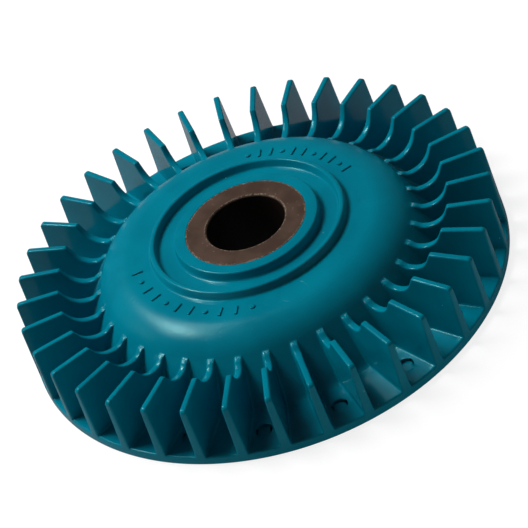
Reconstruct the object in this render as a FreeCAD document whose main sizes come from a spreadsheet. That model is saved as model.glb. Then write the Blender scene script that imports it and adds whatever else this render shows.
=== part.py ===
import FreeCAD, Part
import math
import os
import Sketcher

# Cooling fan wheel of a belt sander: a one-piece moulding with a bush pressed into its hub
# Frame: mm, +Z along the shaft axis towards the blades, origin at the centre of the underside

doc = FreeCAD.newDocument("SanderFan")

# Driving dimensions, millimetres and degrees
SIZES = {
    "outerDiameter": 105.0,
    "discThickness": 2.0,
    "rimDraft": 2.0,
    "crownHeight": 15.6,
    "crownEdgeRadius": 31.2,
    "shoulderRounding": 9.0,
    "floorWidth": 12.1,
    "footRounding": 2.0,
    "wallThickness": 2.2,
    "hollowBevel": 1.7,
    "ringRadius": 20.7,
    "ringHeight": 1.75,
    "ringCrestWidth": 1.0,
    "ringBaseWidth": 1.9,
    "bossHeight": 2.0,
    "bossTopWall": 2.55,
    "bossFlare": 0.3,
    "hubWall": 2.8,
    "bladeCount": 37,
    "bladeHeight": 12.6,
    "bladeBaseThickness": 2.1,
    "bladeDraft": 1.8,
    "bladeTipRounding": 0.9,
    "ridgeHeight": 11.46,
    "notchHeight": 7.15,
    "notchLeadRun": 4.7,
    "notchRiseRun": 3.85,
    "notchRounding": 5.0,
    "bushWall": 4.65,
    "boreDiameter": 17.0,
    "boreChamfer": 0.35,
}

sheet = doc.addObject("Spreadsheet::Sheet", "Sizes")
for row, (alias, number) in enumerate(SIZES.items(), start=1):
    sheet.set("A%d" % row, alias)
    sheet.set("B%d" % row, str(number))
    sheet.setAlias("B%d" % row, alias)
doc.recompute()

# How far a cutting section runs past the faces that it cuts
OVERRUN = 1.0

# How much of the blades' outer ends is left for turning the rim
TRIM = 0.01


def size(alias):
    """The expression that reads one cell of the sheet."""
    return "Sizes.%s" % alias


def value(expression):
    """The number that an expression gives with the sheet as it is."""
    result = sheet.evalExpression(str(expression))
    return float(getattr(result, "Value", result))


# Places that follow from the sheet, as expressions
OUTER_RADIUS = "(%s / 2)" % size("outerDiameter")
BORE_RADIUS = "(%s / 2)" % size("boreDiameter")
BUSH_RADIUS = "(%s + %s)" % (BORE_RADIUS, size("bushWall"))
FLOOR = size("discThickness")
CROWN = size("crownHeight")
BLADE_TOP = "(%s + %s)" % (FLOOR, size("bladeHeight"))
BOSS_TOP = "(%s + %s)" % (CROWN, size("bossHeight"))
RING_TOP = "(%s + %s)" % (CROWN, size("ringHeight"))
CEILING = "(%s - %s)" % (CROWN, size("wallThickness"))
HUB_RADIUS = "(%s + %s)" % (BUSH_RADIUS, size("hubWall"))
BOSS_RADIUS = "(%s + %s)" % (BUSH_RADIUS, size("bossTopWall"))
FOOT_RADIUS = "(%s - %s)" % (OUTER_RADIUS, size("floorWidth"))
FLANK_RUN = "((%s - %s) / (%s - %s))" % (FOOT_RADIUS, size("crownEdgeRadius"), CROWN, FLOOR)
FLANK_WALL = "(%s * sqrt(1 + %s ^ 2))" % (size("wallThickness"), FLANK_RUN)


def rim_radius(height):
    """Radius of the drafted outer edge at a height above the underside."""
    return "(%s - (%s) * tan(%s * 1 deg))" % (OUTER_RADIUS, height, size("rimDraft"))


def flank_radius(height):
    """Radius of the dome's sloping flank at a height above the underside."""
    return "(%s + (%s - (%s)) * %s)" % (size("crownEdgeRadius"), CROWN, height, FLANK_RUN)


def hollow_radius(height):
    """Radius of the hollow's sloping side at a height above the underside."""
    return "(%s - %s)" % (flank_radius(height), FLANK_WALL)


def blade_half(height):
    """Half the thickness of a blade at a height above the underside."""
    return "(%s / 2 - ((%s) - %s) * tan(%s * 1 deg))" % (
        size("bladeBaseThickness"), height, FLOOR, size("bladeDraft"))


def origin_item(body, role):
    """One of a body's own origin planes or axes."""
    return next(item for item in body.Origin.OriginFeatures if item.Role == role)


def new_sketch(body, name, plane):
    """A sketch on one of the body's origin planes."""
    sketch = body.newObject("Sketcher::SketchObject", name)
    sketch.AttachmentSupport = [(origin_item(body, plane), "")]
    sketch.MapMode = "FlatFace"
    return sketch


def pin_point(sketch, item, point, x, y):
    """Hold a point of the sketch at the place that two expressions give."""
    for kind, axis, expression in (("DistanceX", -2, x), ("DistanceY", -1, y)):
        number = value(expression)
        if number == 0:
            sketch.addConstraint(Sketcher.Constraint("PointOnObject", item, point, axis))
            continue
        held = sketch.addConstraint(Sketcher.Constraint(kind, -1, 1, item, point, number))
        sketch.setExpression("Constraints[%d]" % held, str(expression))


def draw_profile(sketch, corners):
    """Draw a closed outline through corners (x, y) or (x, y, rounding), given as expressions."""
    points = [FreeCAD.Vector(value(corner[0]), value(corner[1]), 0) for corner in corners]
    radii = [value(corner[2]) if len(corner) > 2 else 0.0 for corner in corners]
    count = len(corners)
    arrivals = []
    departures = []
    for i, point in enumerate(points):
        back = (points[i - 1] - point).normalize()
        ahead = (points[(i + 1) % count] - point).normalize()
        trim = radii[i] / math.tan(back.getAngle(ahead) / 2)
        arrivals.append(point + back * trim)
        departures.append(point + ahead * trim)
    lines = []
    for i in range(count):
        line = Part.LineSegment(departures[i], arrivals[(i + 1) % count])
        lines.append(sketch.addGeometry(line, False))
    for i, corner in enumerate(corners):
        before = lines[i - 1]
        after = lines[i]
        if radii[i] == 0:
            sketch.addConstraint(Sketcher.Constraint("Coincident", before, 2, after, 1))
            pin_point(sketch, after, 1, corner[0], corner[1])
            continue
        inward = ((arrivals[i] + departures[i]) * 0.5 - points[i]).normalize()
        reach = math.hypot(points[i].distanceToPoint(arrivals[i]), radii[i])
        middle = points[i] + inward * (reach - radii[i])
        arc = sketch.addGeometry(Part.Arc(arrivals[i], middle, departures[i]), False)
        arc_start = sketch.getPoint(arc, 1)
        start, end = (1, 2) if arc_start.distanceToPoint(arrivals[i]) < radii[i] * 1e-3 else (2, 1)
        sketch.addConstraint(Sketcher.Constraint("Tangent", before, 2, arc, start))
        sketch.addConstraint(Sketcher.Constraint("Tangent", arc, end, after, 1))
        held = sketch.addConstraint(Sketcher.Constraint("Radius", arc, radii[i]))
        sketch.setExpression("Constraints[%d]" % held, str(corner[2]))
        vertex = sketch.addGeometry(Part.Point(points[i]), True)
        sketch.addConstraint(Sketcher.Constraint("PointOnObject", vertex, 1, before))
        sketch.addConstraint(Sketcher.Constraint("PointOnObject", vertex, 1, after))
        pin_point(sketch, vertex, 1, corner[0], corner[1])


def turned(body, kind, name, corners):
    """A section in the XZ plane turned about Z, added (Revolution) or cut away (Groove)."""
    sketch = new_sketch(body, name + "Section", "XZ_Plane")
    draw_profile(sketch, corners)
    feature = body.newObject("PartDesign::" + kind, name)
    feature.Profile = sketch
    feature.ReferenceAxis = (sketch, ["V_Axis"])
    feature.Angle = 360
    sketch.Visibility = False
    return feature


def repeat(body, features, name, occurrences, angle):
    """Repeat features about Z through a whole angle."""
    pattern = body.newObject("PartDesign::PolarPattern", name)
    pattern.Originals = features
    pattern.Axis = (origin_item(body, "Z_Axis"), [""])
    pattern.setExpression("Angle", angle)
    pattern.setExpression("Occurrences", occurrences)
    body.Tip = pattern
    return pattern


def build_disc(body):
    """The flat base plate, still oversize at its rim."""
    blank_radius = "(%s + %s)" % (OUTER_RADIUS, OVERRUN)
    turned(body, "Revolution", "Disc", [
        (HUB_RADIUS, 0),
        (blank_radius, 0),
        (blank_radius, FLOOR),
        (HUB_RADIUS, FLOOR),
    ])


def build_blades(body):
    """Straight radial blades: a drafted blank is cut to its outline and repeated in a ring."""
    low = "(%s / 2)" % FLOOR
    high = "(%s + %s)" % (BLADE_TOP, OVERRUN)
    section = new_sketch(body, "BladeSection", "YZ_Plane")
    draw_profile(section, [
        ("-" + blade_half(low), low),
        (blade_half(low), low),
        (blade_half(high), high),
        ("-" + blade_half(high), high),
    ])
    ridge_start = flank_radius(size("ridgeHeight"))
    blank_start = "(%s - %s / 2)" % (ridge_start, OVERRUN)
    section.setExpression("AttachmentOffset.Base.z", blank_start)
    blank = body.newObject("PartDesign::Pad", "BladeBlank")
    blank.Profile = section
    blank.setExpression("Length", "%s - %s + %s" % (OUTER_RADIUS, blank_start, OVERRUN))
    section.Visibility = False

    inside = "(%s - %s)" % (ridge_start, OVERRUN)
    outside = "(%s + 2 * %s)" % (OUTER_RADIUS, OVERRUN)
    above = "(%s + %s)" % (high, OVERRUN)
    notch = "(%s + %s)" % (ridge_start, size("notchLeadRun"))
    lead_slope = "((%s - %s) / %s)" % (size("ridgeHeight"), size("notchHeight"), size("notchLeadRun"))
    outline = new_sketch(body, "BladeOutlineSection", "XZ_Plane")
    draw_profile(outline, [
        (inside, "(%s + %s * %s)" % (size("ridgeHeight"), lead_slope, OVERRUN)),
        (notch, size("notchHeight"), size("notchRounding")),
        ("(%s + %s)" % (notch, size("notchRiseRun")), BLADE_TOP),
        ("(%s + %s)" % (rim_radius(BLADE_TOP), TRIM), BLADE_TOP, size("bladeTipRounding")),
        ("(%s + %s)" % (rim_radius(FLOOR), TRIM), FLOOR),
        (outside, FLOOR),
        (outside, above),
        (inside, above),
    ])
    cut = body.newObject("PartDesign::Pocket", "BladeOutline")
    cut.Profile = outline
    cut.Midplane = True
    cut.setExpression("Length", "%s + %s" % (size("bladeBaseThickness"), OVERRUN))
    outline.Visibility = False
    repeat(body, [blank, cut], "BladeRing", size("bladeCount"), "360")


def turn_rim(body):
    """Turn the rim and the outer ends of the blades to one drafted cone."""
    below = "-%s" % OVERRUN
    above = "(%s + %s)" % (BLADE_TOP, OVERRUN)
    outside = "(%s + 2 * %s)" % (OUTER_RADIUS, OVERRUN)
    turned(body, "Groove", "Rim", [
        (rim_radius(below), below),
        (outside, below),
        (outside, above),
        (rim_radius(above), above),
    ])


def build_dome(body):
    """The dome with its flank down to the disc, the raised ring and the hub boss."""
    half_crest = "%s / 2" % size("ringCrestWidth")
    half_base = "%s / 2" % size("ringBaseWidth")
    skirt = "(%s + 2 * %s)" % (FOOT_RADIUS, size("footRounding"))
    turned(body, "Revolution", "Dome", [
        (BUSH_RADIUS, 0),
        (BUSH_RADIUS, BOSS_TOP),
        (BOSS_RADIUS, BOSS_TOP),
        ("(%s + %s)" % (BOSS_RADIUS, size("bossFlare")), CROWN),
        ("%s - %s" % (size("ringRadius"), half_base), CROWN),
        ("%s - %s" % (size("ringRadius"), half_crest), RING_TOP),
        ("%s + %s" % (size("ringRadius"), half_crest), RING_TOP),
        ("%s + %s" % (size("ringRadius"), half_base), CROWN),
        (size("crownEdgeRadius"), CROWN, size("shoulderRounding")),
        (FOOT_RADIUS, FLOOR, size("footRounding")),
        (skirt, FLOOR),
        (skirt, 0),
    ])


def cut_hollow(body):
    """The ring-shaped hollow under the dome, which leaves an even wall and the hub tube."""
    below = "-%s" % OVERRUN
    bevel_foot = "(%s - %s)" % (CEILING, size("hollowBevel"))
    turned(body, "Groove", "Hollow", [
        (HUB_RADIUS, below),
        (hollow_radius(below), below),
        (hollow_radius(bevel_foot), bevel_foot),
        ("(%s - %s)" % (hollow_radius(CEILING), size("hollowBevel")), CEILING),
        (HUB_RADIUS, CEILING),
    ])


def build_wheel():
    """The moulded fan wheel."""
    body = doc.addObject("PartDesign::Body", "FanWheel")
    body.Label = "fan_wheel"
    build_disc(body)
    build_blades(body)
    turn_rim(body)
    build_dome(body)
    cut_hollow(body)
    return body


def build_bush():
    """The plain bush in the hub, which takes the motor shaft."""
    body = doc.addObject("PartDesign::Body", "CentreBush")
    body.Label = "centre_bush"
    chamfer = size("boreChamfer")
    turned(body, "Revolution", "Sleeve", [
        ("%s + %s" % (BORE_RADIUS, chamfer), 0),
        (BUSH_RADIUS, 0),
        (BUSH_RADIUS, BOSS_TOP),
        ("%s + %s" % (BORE_RADIUS, chamfer), BOSS_TOP),
        (BORE_RADIUS, "%s - %s" % (BOSS_TOP, chamfer)),
        (BORE_RADIUS, chamfer),
    ])
    return body


def check_document():
    """Stop if any object of the document failed to build, or if a cut took nothing away."""
    for item in doc.Objects:
        if "Invalid" in item.State or "Error" in item.State:
            raise RuntimeError("%s failed: %s" % (item.Name, item.State))
        if item.isDerivedFrom("PartDesign::Groove") or item.isDerivedFrom("PartDesign::Pocket"):
            if item.Shape.Volume >= item.BaseFeature.Shape.Volume:
                raise RuntimeError("%s cuts nothing" % item.Name)


def export_parts(parts):
    """Write each sub-part to its own file, named by its label."""
    os.makedirs("parts", exist_ok=True)
    for part in parts:
        shape = part.Shape
        if shape.isNull() or not shape.isValid():
            raise RuntimeError("%s has no valid shape" % part.Label)
        shape.exportStep("parts/%s.step" % part.Label)
        print(part.Label, "solids", len(shape.Solids), "volume", round(shape.Volume, 1), "mm3")


sub_parts = [build_wheel(), build_bush()]
doc.recompute()
check_document()
export_parts(sub_parts)
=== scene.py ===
import math

import bmesh
import bpy
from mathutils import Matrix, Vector


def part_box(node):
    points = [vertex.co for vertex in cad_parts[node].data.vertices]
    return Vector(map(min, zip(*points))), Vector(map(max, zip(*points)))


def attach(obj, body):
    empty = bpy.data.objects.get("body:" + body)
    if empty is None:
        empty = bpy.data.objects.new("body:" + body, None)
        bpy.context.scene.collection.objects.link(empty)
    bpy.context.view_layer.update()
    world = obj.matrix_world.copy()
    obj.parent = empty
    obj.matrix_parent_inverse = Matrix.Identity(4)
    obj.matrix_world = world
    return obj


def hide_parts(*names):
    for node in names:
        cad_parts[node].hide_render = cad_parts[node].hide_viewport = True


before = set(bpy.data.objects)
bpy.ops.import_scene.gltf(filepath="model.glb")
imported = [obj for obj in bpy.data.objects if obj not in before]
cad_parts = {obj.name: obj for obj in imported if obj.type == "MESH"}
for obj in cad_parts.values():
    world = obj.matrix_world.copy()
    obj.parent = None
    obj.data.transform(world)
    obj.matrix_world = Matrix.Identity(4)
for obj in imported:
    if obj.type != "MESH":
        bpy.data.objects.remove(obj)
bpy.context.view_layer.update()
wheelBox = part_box("fan_wheel")
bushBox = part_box("centre_bush")
print("frame loaded")

# How near points lie to count as one or as level, in metres
near = {
    "point": 0.000001,
    "circle": 0.000002,
    "seam": 0.000008,
    "level": 0.00001,
}

# The moulded wheel, lengths in metres, as in the frame
wheel = {
    "outerRadius": wheelBox[1].x,
    "rimSlope": math.tan(math.radians(2)),
    "floorHeight": 0.0020,
    "crownHeight": 0.0156,
    "crownRadius": 0.0312,       # where the flat crown and the flank would meet
    "footRadius": 0.0404,        # where the flank and the floor would meet
    "shoulderRounding": 0.0090,
    "footRounding": 0.0020,
    "wall": 0.002656,            # the flank's wall, measured straight out from the axis
    "ceiling": 0.0134,           # of the hollow under the dome
    "ringRadius": 0.0207,
    "ringHalfBase": 0.00095,
    "ringHalfCrest": 0.0005,
    "ringTop": 0.01735,
    "bossFootRadius": 0.0160,
    "bossTopRadius": 0.0157,
    "bossTop": wheelBox[1].z,
    "tubeRadius": 0.01595,       # the hub's tube in the hollow
    "bushRadius": bushBox[1].x,
    "rimRounding": 0.0004,
    "rimSteps": 3,
    "ringFoot": (0.0005, 4),     # from here on each rounding is its radius and the steps in it
    "ringCrest": (0.0004, 4),
    "bossFoot": (0.0006, 4),
    "bossEdge": (0.0004, 4),
    "seatEdge": (0.00008, 1),    # the two ends of the bush's seat
    "tubeEdge": (0.0003, 2),
    "tubeFoot": (0.0010, 4),     # where the tube meets the ceiling
    "hollowCorner": (0.0068, 6),
    "mouthEdge": (0.0005, 3),
    "rimEdge": (0.0003, 3),      # the rim's lower edge
}

# One blade
blade = {
    "count": 37,
    "top": 0.0146,
    "halfBase": 0.00105,
    "draft": math.tan(math.radians(1.8)),
    "edgeRounding": 0.00035,
    "rootFillet": 0.00045,
    "ridgeStart": 0.0340,
    "nub": 0.0004,               # how far the ridge swells where it leaves the shoulder
    "nubEnd": 0.0362,
    "leadPoint": (0.0340, 0.01146),
    "notchPoint": (0.0387, 0.00715),
    "notchRounding": 0.0050,
    "cornerRadius": 0.04255,
    "cornerRounding": 0.0005,
    "tipRounding": 0.0009,
    "columns": 10,               # grid squares from the middle of a blade to the middle of a gap
    "edgeColumn": 4,             # columns 1 to 4 go round the upper edge
    "footColumn": 8,             # columns 5 to 8 go round the fillet
    "columnTurn": 30,            # degrees that a rounding turns from column to column
    "lowShare": 0.45,            # the most of a low ridge that its edge or its fillet takes
    "shoulderRows": 11,          # rows of points on the shoulder, before the ridge starts
    "shoulderShare": 0.99999,    # keeps the last of them on the shoulder
    "startTurns": (1.2, 2.6, 4.2),                 # degrees past the ridge's start, of the close rows
    "notchFrom": 6,              # degrees past it where the even rows of the notch begin
    "notchSteps": 14,
    "riseShare": 0.86,           # how far up the rise its one row is
    "cornerSteps": 4,
    "topSteps": 5,
    "tipSteps": 5,
    "endHeights": (0.0112, 0.0084, 0.0058, 0.0038, 0.0026),   # rows down the blade's outer end
    "rimHeights": (0.0011, 0.0005),                # and down the rim
}

# The round recesses in every second gap
recess = {
    "count": 18,
    "radius": 0.0018,
    "centre": 0.0467,
    "depth": 0.0007,
    "points": 24,
    "edge": 0.00012,
    "clearing": 1.1,             # radii along the blades within which the floor is opened
    "openingReach": 0.0036,      # the opening's edges lie nearer than this to the recess's centre
}

pitch = 2 * math.pi / blade["count"]
stepsRound = 2 * blade["columns"] * blade["count"]


def onlySelect(piece):
    bpy.ops.object.select_all(action="DESELECT")
    piece.select_set(True)
    bpy.context.view_layer.objects.active = piece


def selectPart(piece, kind, wanted):      # kind is verts, edges or faces; edit mode stays on
    bpy.ops.mesh.select_mode(type={"verts": "VERT", "edges": "EDGE", "faces": "FACE"}[kind])
    bpy.ops.mesh.select_all(action="DESELECT")
    mesh = bmesh.from_edit_mesh(piece.data)
    found = [item for item in getattr(mesh, kind) if wanted(item)]
    for item in found:
        item.select_set(True)
    mesh.select_flush_mode()
    bmesh.update_edit_mesh(piece.data)


def joinPieces(name, pieces):
    bpy.ops.object.select_all(action="DESELECT")
    for piece in pieces:
        piece.select_set(True)
    bpy.context.view_layer.objects.active = pieces[0]
    bpy.ops.object.join()
    pieces[0].name = name
    return pieces[0]


def turnedCopy(piece, angle):             # a copy with its own mesh, turned round the shaft axis
    copy = piece.copy()
    copy.data = piece.data.copy()
    bpy.context.collection.objects.link(copy)
    onlySelect(copy)
    copy.rotation_euler.z = angle
    bpy.ops.object.transform_apply(location=False, rotation=True, scale=False)
    return copy


def closeMesh(piece):                     # doubles merged, then every face turned outwards
    onlySelect(piece)
    bpy.ops.object.mode_set(mode="EDIT")
    bpy.ops.mesh.select_all(action="SELECT")
    bpy.ops.mesh.remove_doubles(threshold=near["seam"])
    bpy.ops.mesh.normals_make_consistent(inside=False)
    bpy.ops.mesh.select_all(action="DESELECT")
    bpy.ops.object.mode_set(mode="OBJECT")
    mesh = bmesh.new()
    mesh.from_mesh(piece.data)
    loose = sum(1 for edge in mesh.edges if not edge.is_manifold)
    triangles = sum(len(face.verts) - 2 for face in mesh.faces)
    mesh.free()
    print(piece.name, "open edges", loose, "triangles", triangles)


def smoothPiece(piece, degrees=40):
    onlySelect(piece)
    bpy.ops.object.shade_smooth_by_angle(angle=math.radians(degrees))
    modifier = piece.modifiers.new("Even normals", "WEIGHTED_NORMAL")
    modifier.keep_sharp = True
    bpy.ops.object.modifier_apply(modifier=modifier.name)


def turnProfile(name, corners, steps, closed):
    # A chain of points is extruded corner by corner, rounded by vertex bevels and spun round the axis.
    # A corner is radius, height, rounding and steps in the rounding.
    bpy.ops.object.select_all(action="DESELECT")
    bpy.ops.mesh.primitive_plane_add(size=1)
    piece = bpy.context.object
    piece.name = name
    bpy.ops.object.mode_set(mode="EDIT")
    bpy.ops.mesh.select_mode(type="VERT")
    bpy.ops.mesh.select_all(action="SELECT")
    bpy.ops.mesh.merge(type="CENTER")
    bpy.ops.transform.translate(value=(corners[0][0], 0, corners[0][1]))
    route = corners + corners[:1] if closed else corners
    for here, there in zip(route, route[1:]):
        move = (there[0] - here[0], 0, there[1] - here[1])
        bpy.ops.mesh.extrude_region_move(TRANSFORM_OT_translate={"value": move})
    bpy.ops.mesh.select_all(action="SELECT")
    bpy.ops.mesh.remove_doubles(threshold=near["point"])
    for index, (radius, height, rounding, parts) in enumerate(corners):
        if not rounding:
            continue
        place = Vector((radius, 0, height))
        last, following = corners[index - 1], corners[(index + 1) % len(corners)]
        before = Vector((last[0], 0, last[1]))
        after = Vector((following[0], 0, following[1]))
        turn = (place - before).angle(after - place)
        selectPart(piece, "verts", lambda point: (point.co - place).length < near["point"])
        bpy.ops.mesh.bevel(offset=rounding * math.tan(turn / 2), affect="VERTICES", segments=parts)
    bpy.ops.mesh.select_all(action="SELECT")
    bpy.ops.mesh.spin(steps=steps, angle=2 * math.pi, center=(0, 0, 0), axis=(0, 0, 1))
    bpy.ops.object.mode_set(mode="OBJECT")
    return piece


def rimRadius(height):
    return wheel["outerRadius"] - height * wheel["rimSlope"]


# The body under the blades: flat crown, rounded shoulder, straight flank, rounded foot, flat floor
flankRise = wheel["crownHeight"] - wheel["floorHeight"]
flankTilt = math.atan2(flankRise, wheel["footRadius"] - wheel["crownRadius"])
flankRun = 1 / math.tan(flankTilt)
shoulderStart = wheel["crownRadius"] - wheel["shoulderRounding"] * math.tan(flankTilt / 2)
shoulderEnd = shoulderStart + wheel["shoulderRounding"] * math.sin(flankTilt)
footEnd = wheel["footRadius"] + wheel["footRounding"] * math.tan(flankTilt / 2)
footStart = footEnd - wheel["footRounding"] * math.sin(flankTilt)


def bodyAt(radius):                       # the body's height and outward direction at a radius
    if radius < shoulderEnd:
        sine = (radius - shoulderStart) / wheel["shoulderRounding"]
        cosine = math.sqrt(1 - sine * sine)
        height = wheel["crownHeight"] - wheel["shoulderRounding"] * (1 - cosine)
    elif radius < footStart:
        sine, cosine = math.sin(flankTilt), math.cos(flankTilt)
        height = wheel["crownHeight"] - (radius - wheel["crownRadius"]) / flankRun
    elif radius < footEnd:
        sine = (footEnd - radius) / wheel["footRounding"]
        cosine = math.sqrt(1 - sine * sine)
        height = wheel["floorHeight"] + wheel["footRounding"] * (1 - cosine)
    else:
        sine, cosine = 0.0, 1.0
        height = wheel["floorHeight"]
    return Vector((radius, height)), Vector((sine, cosine))


def swellingAt(radius):                   # how far the ridge stands above its plain curve
    share = (radius - blade["ridgeStart"]) / (blade["nubEnd"] - blade["ridgeStart"])
    return Vector((0, blade["nub"] * math.sin(math.pi * min(share, 1)) ** 2))


def spread(low, high, parts, first=1):    # evenly spaced values, the ends included
    return [low + (high - low) * index / parts for index in range(first, parts + 1)]


def bladeRows():
    # Each row: a point on the blade's outline with its direction, and one on the body with its direction
    rows = []

    def add(top, topWay, body=None):
        bodyPoint, bodyWay = body or bodyAt(top.x)
        rows.append((top, topWay, bodyPoint, bodyWay))

    for angle in spread(0, flankTilt, blade["shoulderRows"] - 1, 0):
        reach = blade["shoulderShare"] * wheel["shoulderRounding"] * math.sin(angle)
        point, way = bodyAt(shoulderStart + reach)
        add(point, way)
    point, way = bodyAt(blade["ridgeStart"])
    add(point, way)
    start, corner = Vector(blade["leadPoint"]), Vector(blade["notchPoint"])
    rise = Vector((blade["cornerRadius"], blade["top"])) - corner
    leadTilt = math.atan2(corner.y - start.y, corner.x - start.x)
    riseTilt = math.atan2(rise.y, rise.x)
    trim = blade["notchRounding"] * math.tan((riseTilt - leadTilt) / 2)
    arcStart = corner - trim * (corner - start).normalized()
    centre = arcStart + blade["notchRounding"] * Vector((-math.sin(leadTilt), math.cos(leadTilt)))
    first = math.asin((blade["ridgeStart"] - centre.x) / blade["notchRounding"])
    starts = [first + math.radians(turn) for turn in blade["startTurns"]]
    notchFrom = first + math.radians(blade["notchFrom"])
    for angle in starts + spread(notchFrom, riseTilt, blade["notchSteps"], 0):
        way = Vector((-math.sin(angle), math.cos(angle)))
        point = centre - blade["notchRounding"] * way
        add(point + swellingAt(point.x), way)
    innerTrim = blade["cornerRounding"] * math.tan(riseTilt / 2)
    innerCentre = Vector((blade["cornerRadius"] + innerTrim, blade["top"] - blade["cornerRounding"]))
    add(corner + rise * blade["riseShare"], Vector((-math.sin(riseTilt), math.cos(riseTilt))))
    for angle in spread(riseTilt, 0, blade["cornerSteps"], 0):
        way = Vector((-math.sin(angle), math.cos(angle)))
        add(innerCentre + blade["cornerRounding"] * way, way)
    rimTilt = math.pi / 2 - math.atan(wheel["rimSlope"])
    tipCentre = Vector((rimRadius(blade["top"]) - blade["tipRounding"] * math.tan(rimTilt / 2),
                        blade["top"] - blade["tipRounding"]))
    for radius in spread(innerCentre.x, tipCentre.x, blade["topSteps"]):
        add(Vector((radius, blade["top"])), Vector((0, 1)))

    floorEnd = rimRadius(wheel["floorHeight"]) - wheel["rimRounding"] * math.tan(rimTilt / 2)
    rimWay = Vector((math.sin(rimTilt), math.cos(rimTilt)))
    outer = []
    for angle in spread(0, rimTilt, blade["tipSteps"]):
        way = Vector((math.sin(angle), math.cos(angle)))
        outer.append((tipCentre + blade["tipRounding"] * way, way))
    for height in blade["endHeights"]:
        outer.append((Vector((rimRadius(height), height)), rimWay))
    for (point, way), radius in zip(outer, spread(tipCentre.x, floorEnd, len(outer))):
        add(point, way, (Vector((radius, wheel["floorHeight"])), Vector((0, 1))))
    rimCentre = Vector((floorEnd, wheel["floorHeight"] - wheel["rimRounding"]))
    rimFoot = rimCentre + wheel["rimRounding"] * rimWay
    steps = wheel["rimSteps"]
    for angle, height in zip(spread(0, rimTilt, steps), spread(blade["endHeights"][-1], rimFoot.y, steps)):
        way = Vector((math.sin(angle), math.cos(angle)))
        add(Vector((rimRadius(height), height)), rimWay, (rimCentre + wheel["rimRounding"] * way, way))
    for height in blade["rimHeights"]:
        point = Vector((rimRadius(height), height))
        add(point, rimWay, (point, rimWay))
    return rows


def bladePoint(row, column):              # distance from the axis, height and angle from the blade's middle
    top, topWay, body, bodyWay = row
    rise = max((top - body).dot(bodyWay), 0)
    edge, fillet = blade["edgeRounding"], blade["rootFillet"]
    edgeDrop, filletRise = min(edge, blade["lowShare"] * rise), min(fillet, blade["lowShare"] * rise)
    if column <= blade["edgeColumn"]:
        bend = math.radians(blade["columnTurn"] * max(column - 1, 0))
        place = top - topWay * edgeDrop * (1 - math.cos(bend))
        half = blade["halfBase"] - (place.y - wheel["floorHeight"]) * blade["draft"]
        across = (half - edge + edge * math.sin(bend)) if column else 0
    elif column <= blade["footColumn"]:
        bend = math.radians(blade["columnTurn"] * (column - blade["edgeColumn"] - 1))
        place = body + bodyWay * filletRise * (1 - math.sin(bend))
        half = blade["halfBase"] - (place.y - wheel["floorHeight"]) * blade["draft"]
        across = half + fillet * (1 - math.cos(bend))
    else:
        footAngle = bladePoint(row, blade["footColumn"])[2]
        share = (column - blade["footColumn"]) / (blade["columns"] - blade["footColumn"])
        return body.x, body.y, footAngle + (pitch / 2 - footAngle) * share
    return place.x, place.y, math.asin(across / place.x)


def buildSector(name):
    # From the middle of one blade to the middle of the next. The roundings fade out where the ridge runs
    # into the shoulder, which a bevel can't do, so the grid's points are set by the blade's section.
    rows = bladeRows()
    columns = blade["columns"]
    bpy.ops.object.select_all(action="DESELECT")
    bpy.ops.mesh.primitive_grid_add(x_subdivisions=columns, y_subdivisions=len(rows) - 1, size=1)
    sector = bpy.context.object
    sector.name = name
    for point in sector.data.vertices:
        column = round((point.co.x + 0.5) * columns)
        number = round((point.co.y + 0.5) * (len(rows) - 1))
        radius, height, angle = bladePoint(rows[number], column)
        even = pitch / 2 * column / columns
        if number < blade["shoulderRows"]:
            share = number / blade["shoulderRows"]
            angle = even + (angle - even) * share * share * (3 - 2 * share)
        elif number == len(rows) - 2:
            angle = (even + angle) / 2
        elif number == len(rows) - 1:
            angle = even
        angle -= pitch / 2                # the gap's middle lies on +X
        point.co = (radius * math.cos(angle), radius * math.sin(angle), height)
    onlySelect(sector)
    mirror = sector.modifiers.new("Other half", "MIRROR")
    mirror.use_axis = (False, True, False)
    mirror.merge_threshold = near["seam"]
    bpy.ops.object.modifier_apply(modifier=mirror.name)
    return sector


def cutRecess(sector):
    onlySelect(sector)
    bpy.ops.object.mode_set(mode="EDIT")
    centre = Vector((recess["centre"], 0, wheel["floorHeight"]))

    def underRecess(face):
        away = face.calc_center_median() - centre
        along = abs(away.x) < recess["radius"] * recess["clearing"]
        return along and abs(away.y) < recess["radius"] and abs(away.z) < near["level"]

    selectPart(sector, "faces", underRecess)
    bpy.ops.mesh.delete(type="FACE")
    bpy.ops.mesh.select_all(action="DESELECT")
    bpy.ops.mesh.primitive_circle_add(vertices=recess["points"], radius=recess["radius"], location=centre)

    def nearHole(edge):
        away = (edge.verts[0].co + edge.verts[1].co) / 2 - centre
        return edge.is_boundary and abs(away.z) < near["level"] and away.length < recess["openingReach"]

    selectPart(sector, "edges", lambda edge: nearHole(edge) or edge.is_wire)
    bpy.ops.mesh.bridge_edge_loops()

    def onCircle(edge):
        gaps = [abs((point.co - centre).length - recess["radius"]) for point in edge.verts]
        return max(gaps) < near["circle"]

    selectPart(sector, "edges", onCircle)
    bpy.ops.mesh.extrude_edges_move(TRANSFORM_OT_translate={"value": (0, 0, -recess["depth"])})
    bpy.ops.mesh.edge_face_add()
    selectPart(sector, "edges", onCircle)
    bpy.ops.mesh.bevel(offset=recess["edge"], segments=2, affect="EDGES")
    bpy.ops.object.mode_set(mode="OBJECT")


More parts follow.
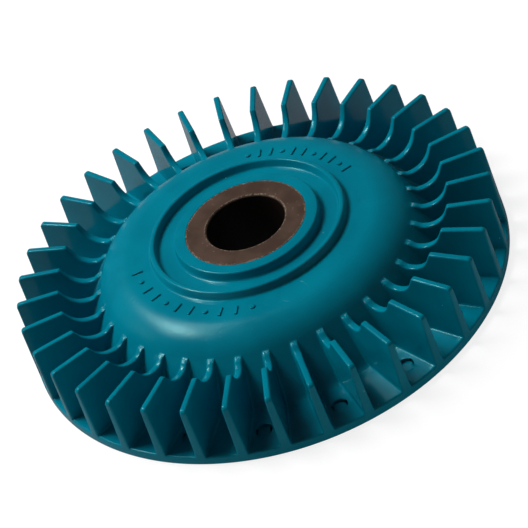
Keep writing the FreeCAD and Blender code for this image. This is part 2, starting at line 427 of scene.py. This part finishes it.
def buildHub():
    top, floor = wheel["crownHeight"], 0.0
    hollowTop = wheel["footRadius"] + (wheel["floorHeight"] - wheel["ceiling"]) * flankRun - wheel["wall"]
    hollowMouth = wheel["footRadius"] + wheel["floorHeight"] * flankRun - wheel["wall"]
    ring, base, crest = wheel["ringRadius"], wheel["ringHalfBase"], wheel["ringHalfCrest"]
    rimFoot = blade["rimHeights"][-1]     # from here up the rim belongs to the blades' sectors
    corners = [
        (shoulderStart, top, 0, 0),
        (ring + base, top, *wheel["ringFoot"]),
        (ring + crest, wheel["ringTop"], *wheel["ringCrest"]),
        (ring - crest, wheel["ringTop"], *wheel["ringCrest"]),
        (ring - base, top, *wheel["ringFoot"]),
        (wheel["bossFootRadius"], top, *wheel["bossFoot"]),
        (wheel["bossTopRadius"], wheel["bossTop"], *wheel["bossEdge"]),
        (wheel["bushRadius"], wheel["bossTop"], *wheel["seatEdge"]),
        (wheel["bushRadius"], floor, *wheel["seatEdge"]),
        (wheel["tubeRadius"], floor, *wheel["tubeEdge"]),
        (wheel["tubeRadius"], wheel["ceiling"], *wheel["tubeFoot"]),
        (hollowTop, wheel["ceiling"], *wheel["hollowCorner"]),
        (hollowMouth, floor, *wheel["mouthEdge"]),
        (wheel["outerRadius"], floor, *wheel["rimEdge"]),
        (rimRadius(rimFoot), rimFoot, 0, 0),
    ]
    return turnProfile("hub", corners, stepsRound, False)


def buildWheel():
    plain = buildSector("sector")
    dimpled = turnedCopy(plain, 0)
    cutRecess(dimpled)
    pieces = []
    withRecess = {(-2 * number) % blade["count"] for number in range(recess["count"])}
    for number in range(blade["count"]):  # gap number 0 is the first one counter-clockwise of +X
        source = dimpled if number in withRecess else plain
        pieces.append(turnedCopy(source, (number + 0.5) * pitch))
    bpy.data.objects.remove(plain)
    bpy.data.objects.remove(dimpled)
    piece = joinPieces("moulded_wheel", [buildHub()] + pieces)
    closeMesh(piece)
    smoothPiece(piece)
    return piece


# The bush in the hub
bush = {
    "outerRadius": bushBox[1].x,
    "boreRadius": 0.0085,
    "height": bushBox[1].z,
    "chamfer": 0.00035,
    "edge": (0.00015, 3),        # its rounding and the steps in it
    "steps": 144,                # round the axis
}


def buildBush():
    outer, bore, high, chamfer = bush["outerRadius"], bush["boreRadius"], bush["height"], bush["chamfer"]
    corners = [
        (bore + chamfer, high, 0, 0),
        (outer, high, *bush["edge"]),
        (outer, 0.0, *bush["edge"]),
        (bore + chamfer, 0.0, 0, 0),
        (bore, chamfer, 0, 0),
        (bore, high - chamfer, 0, 0),
    ]
    piece = turnProfile("shaft_bush", corners, bush["steps"], True)
    closeMesh(piece)
    smoothPiece(piece, degrees=30)
    return piece


# Plain raised marks on the crown
marks = {
    "radius": 0.0250,
    "height": 0.00030,
    "sunk": 0.0001,
    "tick": (0.0024, 0.0006),
    "dotRadius": 0.0006,
    "dotPoints": 20,
    "dotEvery": 3,               # each third mark is a dot
    "edge": 0.0001,
    "firstArc": (math.radians(48), math.radians(108)),
    "secondArc": (math.radians(212), math.radians(290)),
    "number": 11,
}


def buildMarks():
    high = marks["height"] + marks["sunk"]
    middle = wheel["crownHeight"] + high / 2 - marks["sunk"]
    bpy.ops.object.select_all(action="DESELECT")
    bpy.ops.mesh.primitive_cube_add(size=1, location=(marks["radius"], 0, middle))
    tick = bpy.context.object
    tick.scale = (marks["tick"][0], marks["tick"][1], high)
    bpy.ops.object.transform_apply(location=True, rotation=True, scale=True)
    bpy.ops.object.mode_set(mode="EDIT")
    bpy.ops.mesh.select_all(action="SELECT")
    bpy.ops.mesh.bevel(offset=marks["edge"], segments=2, affect="EDGES")
    bpy.ops.object.mode_set(mode="OBJECT")
    bpy.ops.object.select_all(action="DESELECT")
    bpy.ops.mesh.primitive_cylinder_add(vertices=marks["dotPoints"], radius=marks["dotRadius"],
                                        depth=high, location=(marks["radius"], 0, middle))
    dot = bpy.context.object
    bpy.ops.object.transform_apply(location=True, rotation=True, scale=True)
    bpy.ops.object.mode_set(mode="EDIT")
    selectPart(dot, "edges", lambda edge: all(point.co.z > middle for point in edge.verts))
    bpy.ops.mesh.bevel(offset=marks["edge"], segments=2, affect="EDGES")
    bpy.ops.object.mode_set(mode="OBJECT")
    pieces = []
    for low, far in (marks["firstArc"], marks["secondArc"]):
        for number, angle in enumerate(spread(low, far, marks["number"] - 1, 0)):
            pieces.append(turnedCopy(dot if number % marks["dotEvery"] == 1 else tick, angle))
    bpy.data.objects.remove(tick)
    bpy.data.objects.remove(dot)
    piece = joinPieces("crown_marks", pieces)
    closeMesh(piece)
    smoothPiece(piece)
    return piece


class Value:                              # a socket that takes part in sums as a number does
    def __init__(self, finish, socket):
        self.finish = finish
        self.socket = socket

    def maths(self, operation, first, second):
        return self.finish.node("ShaderNodeMath", {"operation": operation}, {0: first, 1: second})

    def __add__(self, other):
        return self.maths("ADD", self, other)

    def __radd__(self, other):
        return self.maths("ADD", other, self)

    def __sub__(self, other):
        return self.maths("SUBTRACT", self, other)

    def __rsub__(self, other):
        return self.maths("SUBTRACT", other, self)

    def __mul__(self, other):
        return self.maths("MULTIPLY", self, other)

    def __rmul__(self, other):
        return self.maths("MULTIPLY", other, self)

    def __truediv__(self, other):
        return self.maths("DIVIDE", self, other)

    def __rtruediv__(self, other):
        return self.maths("DIVIDE", other, self)

    def size(self):
        return self.finish.node("ShaderNodeMath", {"operation": "ABSOLUTE"}, {0: self})


class Finish:                             # one node material
    def __init__(self, name):
        self.material = bpy.data.materials.new(name)
        self.material.use_nodes = True
        self.tree = self.material.node_tree
        self.tree.nodes.clear()

    def node(self, kind, settings, inputs, output=0):
        made = self.tree.nodes.new(kind)
        for key, setting in settings.items():
            setattr(made, key, setting)
        for key, given in inputs.items():
            if isinstance(given, Value):
                self.tree.links.new(given.socket, made.inputs[key])
            else:
                made.inputs[key].default_value = given
        return Value(self, made.outputs[output]) if made.outputs else None

    def place(self):
        return self.node("ShaderNodeTexCoord", {}, {}, "Object")

    def reach(self, centre=(0, 0, 0)):    # distance from a line that stands upright at centre
        flat = self.node("ShaderNodeVectorMath", {"operation": "MULTIPLY"}, {0: self.place(), 1: (1, 1, 0)})
        return self.node("ShaderNodeVectorMath", {"operation": "DISTANCE"}, {0: flat, 1: centre}, "Value")

    def height(self):
        return self.node("ShaderNodeSeparateXYZ", {}, {0: self.place()}, "Z")

    def noise(self, scale, detail, roughness=0.5):
        inputs = {"Vector": self.place(), "Scale": scale, "Detail": detail, "Roughness": roughness}
        return self.node("ShaderNodeTexNoise", {}, inputs)

    def cells(self, scale):               # distance from the nearest of many scattered points
        return self.node("ShaderNodeTexVoronoi", {}, {"Vector": self.place(), "Scale": scale}, "Distance")

    def rays(self, kind):                 # 1 for rays of one kind, 0 for the others
        return self.node("ShaderNodeLightPath", {}, {}, kind)

    def fade(self, given, low, high):     # 0 below low, 1 above high, smooth between
        return self.node("ShaderNodeMapRange", {"interpolation_type": "SMOOTHSTEP"},
                         {"Value": given, "From Min": low, "From Max": high})

    def between(self, given, limits):     # 1 between the two inner limits, 0 outside the two outer ones
        low, lowEnd, highStart, high = limits
        return self.fade(given, low, lowEnd) * (1 - self.fade(given, highStart, high))

    def mix(self, share, first, second, blend="MIX"):      # 6, 7 and output 2 are the sockets for colours
        settings = {"data_type": "RGBA", "blend_type": blend}
        return self.node("ShaderNodeMix", settings, {0: share, 6: first, 7: second}, 2)

    def bump(self, height, distance):
        return self.node("ShaderNodeBump", {}, {"Height": height, "Distance": distance})

    def finish(self, **sockets):
        inputs = {key.replace("_", " "): given for key, given in sockets.items()}
        return self.showing(self.node("ShaderNodeBsdfPrincipled", {}, inputs))

    def showing(self, shader):
        self.node("ShaderNodeOutputMaterial", {}, {"Surface": shader})
        return self.material


def tealPlastic():
    teal = {
        "colour": (0.0, 0.200, 0.285, 1),
        "pale": (0.0, 0.224, 0.312, 1),
        "deep": (0.0, 0.170, 0.245, 1),
        "tint": (0.50, 1.0, 0.95, 1),
        "gloss": 0.40,
        "cloud": (90, 3),                                 # a noise's scale, detail and, if given, roughness
        "cloudLimits": (0.35, 0.65),
        "evenShare": 0.5,                                 # how much of the plain colour covers the clouds
        "speck": (0.20, 0.42, 0.46, 1),
        "speckCells": 230,
        "speckLimits": (0.020, 0.034),
        "speckPatch": (130, 1),
        "speckPatchLimits": (0.50, 0.56),
        "grain": (3200, 3, 0.6),
        "grainHeight": 0.25,
        "wave": (260, 2),
        "waveHeight": 0.75,
        "pitCells": 700,
        "pitLimits": (0.04, 0.13),
        "pitDepth": 0.7,
        "pinMarks": ((23.5, 0.0269), (310.5, 0.0250)),    # azimuth in degrees and distance from the axis
        "pinRadius": 0.0030,
        "pinLine": 0.00013,
        "pinDepth": 0.9,
        "relief": 0.00003,                                # metres for a height of 1
        "paintedGlint": (0.18, 0.38, 0.42, 1),
        "paintedGlintNoise": (2600, 2, 0.7),
        "paintedGlintLimits": (0.52, 0.64),
        "ridgeTip": (0.0338, 0.0341, 0.0345, 0.0352),     # where the ridges' tips are painted pale, a painted highlight for their glints
        "tipRise": (0.00008, 0.00022),                    # and how far above the flank
        "roughness": 0.12,
        "speckle": (1800, 2),
        "speckleShare": 0.12,
        "cloudShare": 0.10,
        "shoulder": (0.0264, 0.0276, 0.0328, 0.0338),     # the band that is less glossy
        "shoulderRoughness": 0.12,
    }
    finish = Finish("teal_moulding")
    cloud = finish.noise(*teal["cloud"])
    shade = finish.mix(finish.fade(cloud, *teal["cloudLimits"]), teal["deep"], teal["pale"])
    colour = finish.mix(teal["evenShare"], shade, teal["colour"])
    speck = 1 - finish.fade(finish.cells(teal["speckCells"]), *teal["speckLimits"])
    speckPatch = finish.fade(finish.noise(*teal["speckPatch"]), *teal["speckPatchLimits"])
    colour = finish.mix(speck * speckPatch, colour, teal["speck"])

    grain = finish.noise(*teal["grain"]) * teal["grainHeight"]
    wave = finish.noise(*teal["wave"]) * teal["waveHeight"]
    pit = 1 - finish.fade(finish.cells(teal["pitCells"]), *teal["pitLimits"])
    height = grain + wave - pit * teal["pitDepth"]
    for azimuth, reach in teal["pinMarks"]:
        turn = math.radians(azimuth)
        centre = (reach * math.cos(turn), reach * math.sin(turn), 0)
        line = (finish.reach(centre) - teal["pinRadius"]).size() / teal["pinLine"]
        height = height - (1 - finish.fade(line, 0.0, 1.0)) * teal["pinDepth"]
    normal = finish.bump(height, teal["relief"])

    above = finish.height() + (finish.reach() - wheel["crownRadius"]) / flankRun - wheel["crownHeight"]
    # painted highlight: a pale colour on the ridges' tips stands in for their glints
    paintedGlint = finish.fade(finish.noise(*teal["paintedGlintNoise"]), *teal["paintedGlintLimits"])
    paintedGlint = paintedGlint * finish.fade(above, *teal["tipRise"])
    tip = finish.between(finish.reach(), teal["ridgeTip"])
    colour = finish.mix(tip * paintedGlint, colour, teal["paintedGlint"])

    speckle = finish.noise(*teal["speckle"])
    band = finish.between(finish.reach(), teal["shoulder"])
    roughness = teal["roughness"] + (speckle - 0.5) * teal["speckleShare"]
    roughness = roughness + (cloud - 0.5) * teal["cloudShare"] + band * teal["shoulderRoughness"]
    return finish.finish(Base_Color=colour, Roughness=roughness, Normal=normal,
                         Specular_Tint=teal["tint"], Specular_IOR_Level=teal["gloss"])


def brownMoulding():
    brown = {
        "colour": (0.056, 0.033, 0.023, 1),
        "light": (0.086, 0.053, 0.039, 1),
        "gloss": 0.25,
        "cloud": (220, 4),
        "cloudLimits": (0.35, 0.7),
        "fleck": (0.30, 0.22, 0.16, 1),
        "fleckCells": 1500,
        "fleckLimits": (0.10, 0.18),
        "fleckPatch": (420, 1),
        "fleckPatchLimits": (0.56, 0.66),
        "edgeCrumbAndHighlight": (3000, 2, 0.6),
        "edgeCrumbAndHighlightLimits": (0.50, 0.58),
        "edgeCrumbAndHighlightReach": 0.00030,       # how far the pale crumbs of the cut edges, partly a painted highlight along the edges, reach from them
        "pore": (0.012, 0.009, 0.008, 1),
        "poreCells": 1150,
        "poreLimits": (0.08, 0.16),
        "porePatch": (600, 1),
        "porePatchLimits": (0.50, 0.62),
        "boreEdge": 0.00870,
        # how dark the painted shade inside the bore is
        "borePaintedShade": 0.12,
        "grain": (2600, 3, 0.6),
        "grainHeight": 0.6,
        "relief": 0.00004,
        "roughness": 0.60,
        "cloudShare": 0.2,
    }
    finish = Finish("brown_moulding")
    reach = finish.reach()
    cloud = finish.noise(*brown["cloud"])
    colour = finish.mix(finish.fade(cloud, *brown["cloudLimits"]), brown["colour"], brown["light"])
    fleck = 1 - finish.fade(finish.cells(brown["fleckCells"]), *brown["fleckLimits"])
    fleckPatch = finish.fade(finish.noise(*brown["fleckPatch"]), *brown["fleckPatchLimits"])
    colour = finish.mix(fleck * fleckPatch, colour, brown["fleck"])

    boreRim = bush["boreRadius"] + bush["chamfer"]
    outerRim = bush["outerRadius"] - brown["edgeCrumbAndHighlightReach"] / 2
    # pale crumbs along the cut edges: partly real flecks, partly a painted highlight on the edges
    nearBore = 1 - finish.fade((reach - boreRim).size(), 0.0, brown["edgeCrumbAndHighlightReach"])
    nearOuter = 1 - finish.fade((reach - outerRim).size(), 0.0, brown["edgeCrumbAndHighlightReach"])
    edgeCrumbAndHighlight = finish.fade(finish.noise(*brown["edgeCrumbAndHighlight"]), *brown["edgeCrumbAndHighlightLimits"])
    colour = finish.mix((nearBore + nearOuter) * edgeCrumbAndHighlight, colour, brown["fleck"])

    pore = 1 - finish.fade(finish.cells(brown["poreCells"]), *brown["poreLimits"])
    porePatch = finish.fade(finish.noise(*brown["porePatch"]), *brown["porePatchLimits"])
    colour = finish.mix(pore * porePatch, colour, brown["pore"])
    bore = 1 - finish.fade(reach, bush["boreRadius"], brown["boreEdge"])
    boreInPaintedShade = finish.mix(1.0, colour, [brown["borePaintedShade"]] * 3 + [1], "MULTIPLY")
    colour = finish.mix(bore, colour, boreInPaintedShade)      # painted shade: the bore's wall is darker
    height = finish.noise(*brown["grain"]) * brown["grainHeight"] - pore * porePatch
    normal = finish.bump(height, brown["relief"])
    roughness = brown["roughness"] + (cloud - 0.5) * brown["cloudShare"]
    return finish.finish(Base_Color=colour, Roughness=roughness, Normal=normal,
                         Specular_IOR_Level=brown["gloss"])


# Floor, lamps and camera
studio = {
    "floorSize": 6.0,
    "floorColour": 0.22,
    "floorGlow": 0.84,           # strength that only the camera sees in full
    "floorInGloss": 0.05,
    "floorBounce": 0.55,         # the light that the floor throws back on the rim and the blades' ends
    "floorDrop": 0.0001,         # so that the underside and the floor aren't in one plane
    "world": 0.04,
    "cameraPlace": (0.20899, -0.34290, 0.32421),
    "cameraTurn": (49.539, 16.598, 17.604),        # degrees
    "lens": 164.86,
    "sensor": 36,
    "clipStart": 0.01,
}

# Azimuth from +X and elevation in degrees, sizes in metres; inGloss says whether the gloss shows the lamp
lamps = {
    "key_lamp": {"azimuth": 178, "elevation": 55, "distance": 0.80,
                 "width": 0.50, "height": 0.27, "radiance": 3.8, "inGloss": True},
    "spot_lamp": {"azimuth": 180, "elevation": 55, "distance": 0.78,
                  "width": 0.22, "height": 0.035, "radiance": 30.0, "inGloss": True},
    "wide_lamp": {"azimuth": 168, "elevation": 57, "distance": 0.85,
                  "width": 0.42, "height": 0.36, "radiance": 9.6, "inGloss": False},
    "side_lamp": {"azimuth": -168, "elevation": 26, "distance": 0.80,
                  "width": 0.25, "height": 0.20, "radiance": 7.0, "inGloss": False},
    "low_lamp": {"azimuth": 104, "elevation": 24, "distance": 0.90,
                 "width": 0.20, "height": 0.12, "radiance": 6.0, "inGloss": False},
    "fill_lamp": {"azimuth": 15, "elevation": 14, "distance": 0.90,
                  "width": 0.50, "height": 0.30, "radiance": 0.8, "inGloss": False},
}


def paleFloor():
    finish = Finish("pale_floor")
    mirrored = finish.rays("Is Glossy Ray") + finish.rays("Is Transmission Ray")
    seen = finish.rays("Is Camera Ray") + mirrored * studio["floorInGloss"]
    seen = seen + finish.rays("Is Diffuse Ray") * studio["floorBounce"]
    strength = seen * studio["floorGlow"]
    plain = finish.node("ShaderNodeBsdfDiffuse", {}, {"Color": [studio["floorColour"]] * 3 + [1]})
    glow = finish.node("ShaderNodeEmission", {}, {"Color": (1, 1, 1, 1), "Strength": strength})
    return finish.showing(finish.node("ShaderNodeAddShader", {}, {0: plain, 1: glow}))


def buildStudio():
    bpy.ops.mesh.primitive_plane_add(size=studio["floorSize"], location=(0, 0, -studio["floorDrop"]))
    floor = bpy.context.object
    floor.name = "floor"
    floor.data.materials.append(paleFloor())
    for name, given in lamps.items():
        across, up = math.radians(given["azimuth"]), math.radians(given["elevation"])
        way = Vector((math.cos(across) * math.cos(up), math.sin(across) * math.cos(up), math.sin(up)))
        bpy.ops.object.light_add(type="AREA", location=way * given["distance"])
        lamp = bpy.context.object
        lamp.name = name
        lamp.rotation_euler = way.to_track_quat("Z", "Y").to_euler()
        lamp.data.shape = "RECTANGLE"
        lamp.data.size = given["width"]
        lamp.data.size_y = given["height"]
        lamp.data.energy = given["radiance"] * math.pi * given["width"] * given["height"]
        lamp.visible_glossy = given["inGloss"]
    world = bpy.data.worlds.new("studio")
    world.use_nodes = True
    world.node_tree.nodes["Background"].inputs["Color"].default_value = (1, 1, 1, 1)
    world.node_tree.nodes["Background"].inputs["Strength"].default_value = studio["world"]
    bpy.context.scene.world = world
    bpy.ops.object.camera_add(location=studio["cameraPlace"],
                              rotation=[math.radians(turn) for turn in studio["cameraTurn"]])
    camera = bpy.context.object
    camera.data.lens = studio["lens"]
    camera.data.sensor_width = studio["sensor"]
    camera.data.clip_start = studio["clipStart"]
    bpy.context.scene.camera = camera
    bpy.context.scene.view_settings.view_transform = "Standard"


def dress(piece, material, node=None):
    piece.data.materials.clear()
    piece.data.materials.append(material)
    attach(piece, "root")
    if node:
        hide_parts(node)


teal = tealPlastic()
dress(buildWheel(), teal, "fan_wheel")
print("wheel done")
dress(buildBush(), brownMoulding(), "centre_bush")
print("bush done")
dress(buildMarks(), teal)
print("marks done")
buildStudio()
print("studio done")
